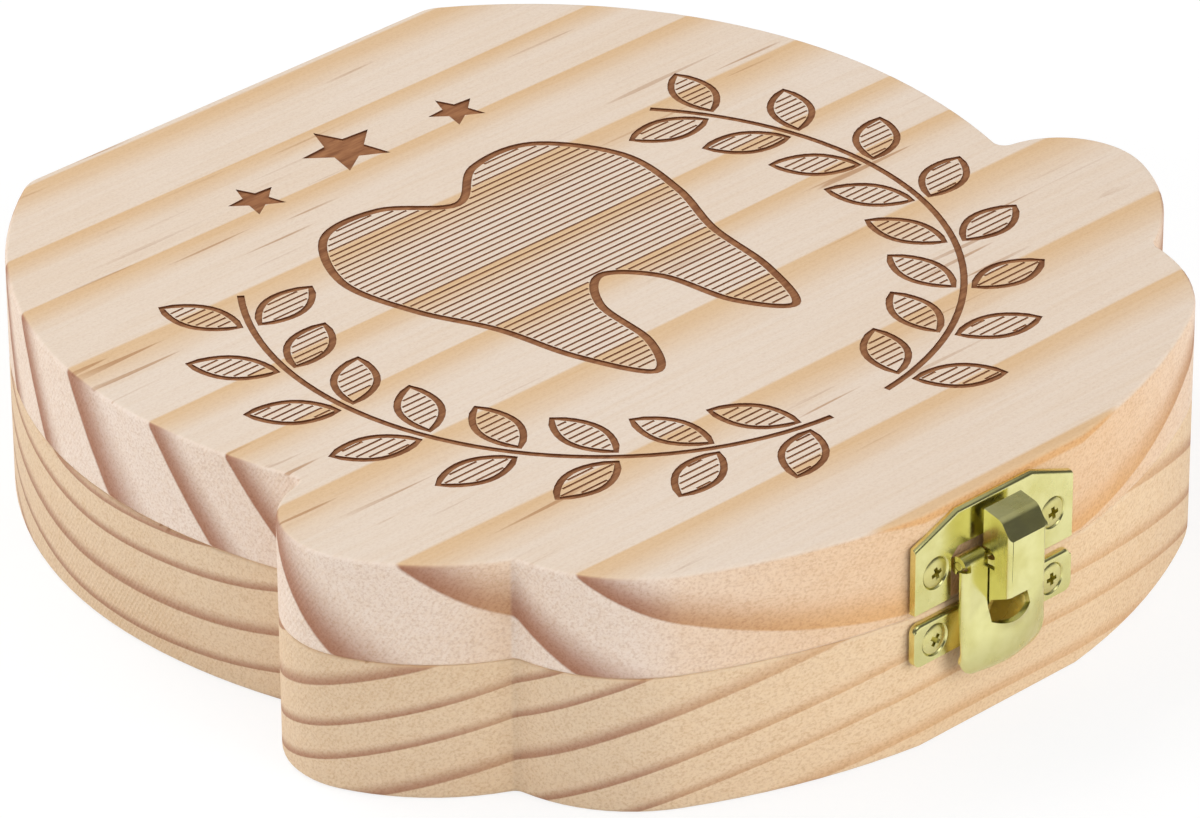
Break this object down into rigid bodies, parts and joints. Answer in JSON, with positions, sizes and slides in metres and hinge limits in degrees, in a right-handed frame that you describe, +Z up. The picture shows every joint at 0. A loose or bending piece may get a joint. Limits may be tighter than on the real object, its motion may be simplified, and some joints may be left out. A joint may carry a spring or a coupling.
{
  "type": "keepsake box",
  "caption": "Flat round-lobed wooden keepsake box with pits for milk teeth, a thick lid on two brass butt hinges and a brass toggle latch.",
  "frame": {"origin": "on the bottom face, on the outline's line of symmetry, near the middle of its depth", "axes": "+Z up through the lid, -Y towards the latch, +X to the right as seen from the latch side"},
  "size_m": [0.123, 0.1282, 0.028],
  "materials": {
    "pine_base": "sanded, unvarnished pine",
    "pine_lid": "sanded, unvarnished pine with burnt linework on top",
    "brass_sheet": "bright brass-plated pressed sheet",
    "brass_screw": "bright brass-plated screws",
    "brass_pin": "bright brass-plated wire"
  },
  "bodies": {
    "base": {"base_block": "pine_base", "hinge_left_base_leaf": "brass_sheet", "hinge_left_base_screws": "brass_screw", "hinge_left_pin": "brass_pin", "hinge_right_base_leaf": "brass_sheet", "hinge_right_base_screws": "brass_screw", "hinge_right_pin": "brass_pin", "latch_base_plate": "brass_sheet", "latch_base_screws": "brass_screw", "latch_main_pin": "brass_pin"},
    "lid": {"lid_board": "pine_lid", "hinge_left_lid_leaf": "brass_sheet", "hinge_left_lid_screws": "brass_screw", "hinge_right_lid_leaf": "brass_sheet", "hinge_right_lid_screws": "brass_screw", "latch_catch_plate": "brass_sheet", "latch_catch_screws": "brass_screw"},
    "lever": {"latch_lever": "brass_sheet", "latch_hook_rivets": "brass_pin"},
    "hook": {"latch_hook": "brass_sheet"}
  },
  "joints": [
    {"name": "lid_hinge", "type": "hinge", "parent": "base", "child": "lid", "pos_m": [0, 0.06152, 0.016], "axis": [-1, 0, 0], "range_deg": [0, 180]},
    {"name": "lever_pivot", "type": "hinge", "parent": "base", "child": "lever", "pos_m": [-0.0021, -0.06123, 0.021], "axis": [-1, 0, 0], "range_deg": [-6, 75]},
    {"name": "hook_pivot", "type": "hinge", "parent": "lever", "child": "hook", "pos_m": [-0.0021, -0.06143, 0.015], "axis": [-1, 0, 0], "range_deg": [-75, 6]}
  ],
  "couplings": [
    {"joint": "hook_pivot", "follows": "lever_pivot", "ratio": -1}
  ]
}
